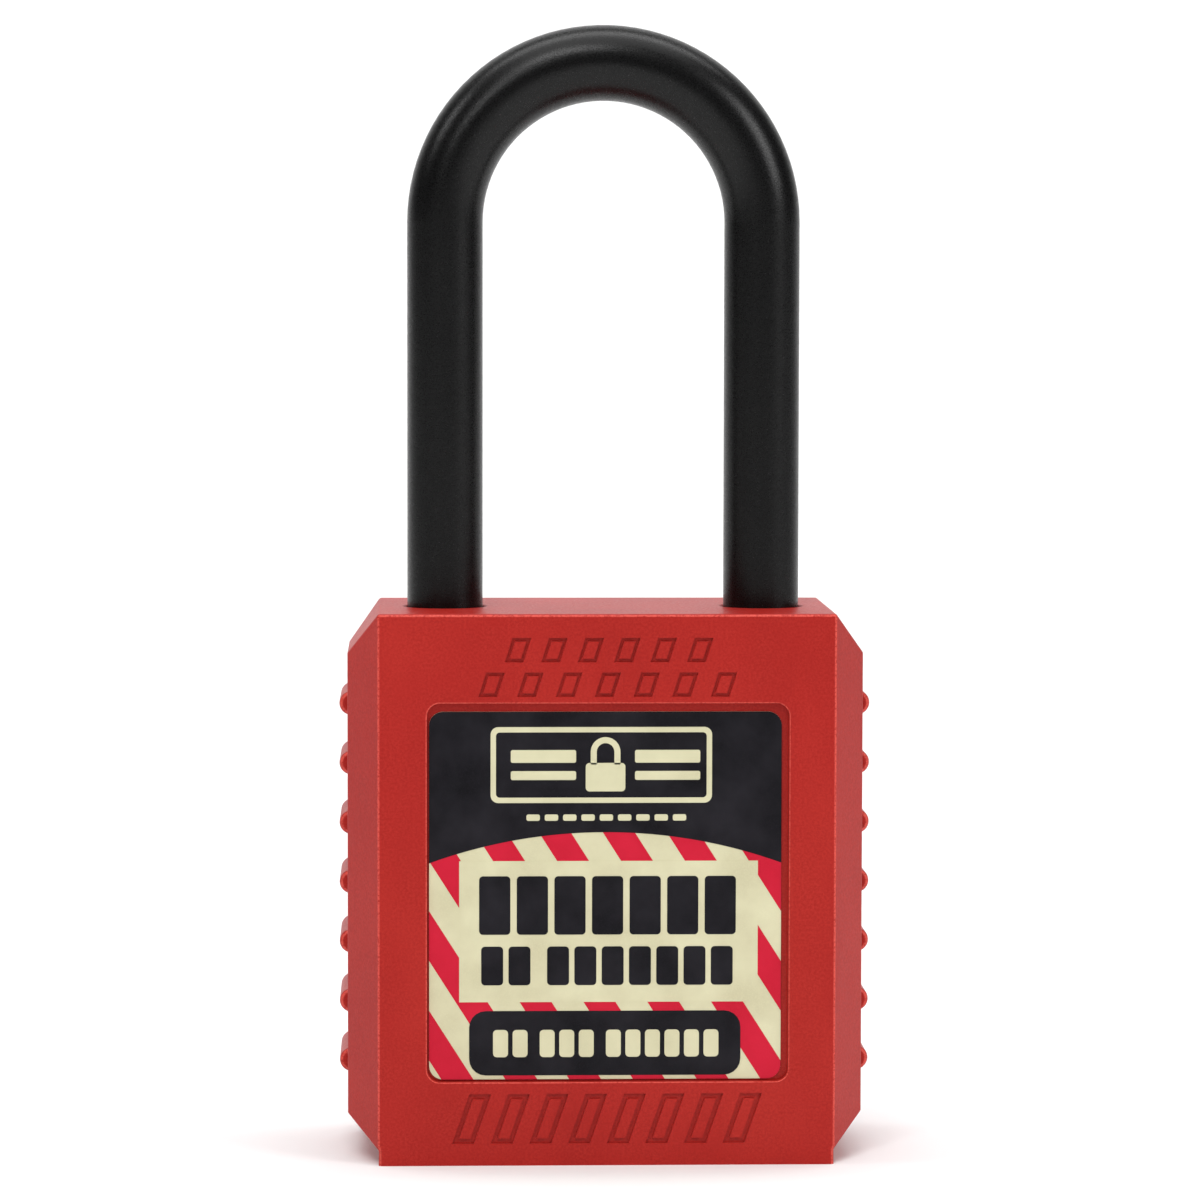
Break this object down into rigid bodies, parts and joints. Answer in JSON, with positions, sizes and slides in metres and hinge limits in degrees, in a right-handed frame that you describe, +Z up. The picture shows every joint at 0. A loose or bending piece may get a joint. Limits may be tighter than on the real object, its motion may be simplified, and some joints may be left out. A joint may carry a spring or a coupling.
{
  "type": "safety padlock",
  "caption": "Non-conductive safety padlock: ribbed moulded body, tall black shackle, label recesses, pin tumbler cylinder turning a cam that slides the latch into the shackle's toe.",
  "frame": {"origin": "middle of the base, on the plane it stands on", "axes": "+Z up along the shackle, front label face towards -Y, +X to the right seen from the front, where the shackle's free toe is"},
  "size_m": [0.0419, 0.02, 0.0894],
  "materials": {
    "red_nylon": "moulded glass-filled nylon, fine satin texture",
    "black_nylon": "moulded nylon, satin black",
    "dark_nylon": "moulded nylon, matt",
    "danger_sticker": "printed vinyl sticker with hazard stripes",
    "owner_sticker": "printed vinyl sticker with blank lines",
    "brass": "machined",
    "plug_brass": "machined and polished face",
    "steel": "plated",
    "spring_steel": "drawn stainless wire"
  },
  "bodies": {
    "lock_body": {"body_shell": "red_nylon", "base_cover": "red_nylon", "base_pins": "steel", "core_carrier": "dark_nylon", "front_label": "danger_sticker", "rear_label": "owner_sticker", "heel_stop_pin": "steel", "cylinder_housing": "brass", "pin_chamber_cover": "brass", "shackle_spring": "spring_steel", "driver_pin_1": "brass", "driver_pin_2": "brass", "driver_pin_3": "brass", "driver_pin_4": "brass", "driver_pin_5": "brass", "driver_pin_6": "brass", "pin_spring_1": "spring_steel", "pin_spring_2": "spring_steel", "pin_spring_3": "spring_steel", "pin_spring_4": "spring_steel", "pin_spring_5": "spring_steel", "pin_spring_6": "spring_steel"},
    "shackle": {"shackle": "black_nylon"},
    "plug": {"cylinder_plug": "plug_brass", "plug_circlip": "spring_steel", "drive_cam": "steel", "key_pin_1": "brass", "key_pin_2": "brass", "key_pin_3": "brass", "key_pin_4": "brass", "key_pin_5": "brass", "key_pin_6": "brass"},
    "latch": {"latch_bolt": "steel"}
  },
  "joints": [
    {"name": "shackle_lift", "type": "slide", "parent": "lock_body", "child": "shackle", "axis": [0, 0, 1], "range_m": [0, 0.0125], "deforming": ["shackle_spring"]},
    {"name": "plug_turn", "type": "hinge", "parent": "lock_body", "child": "plug", "pos_m": [0, -0.0022, 0.015], "axis": [0, 0, 1], "range_deg": [0, 90]},
    {"name": "latch_slide", "type": "slide", "parent": "lock_body", "child": "latch", "axis": [1, 0, 0], "range_m": [0, 0.0016]}
  ],
  "couplings": [
    {"joint": "latch_slide", "follows": "plug_turn", "m_per_rad": 0.0010186}
  ]
}
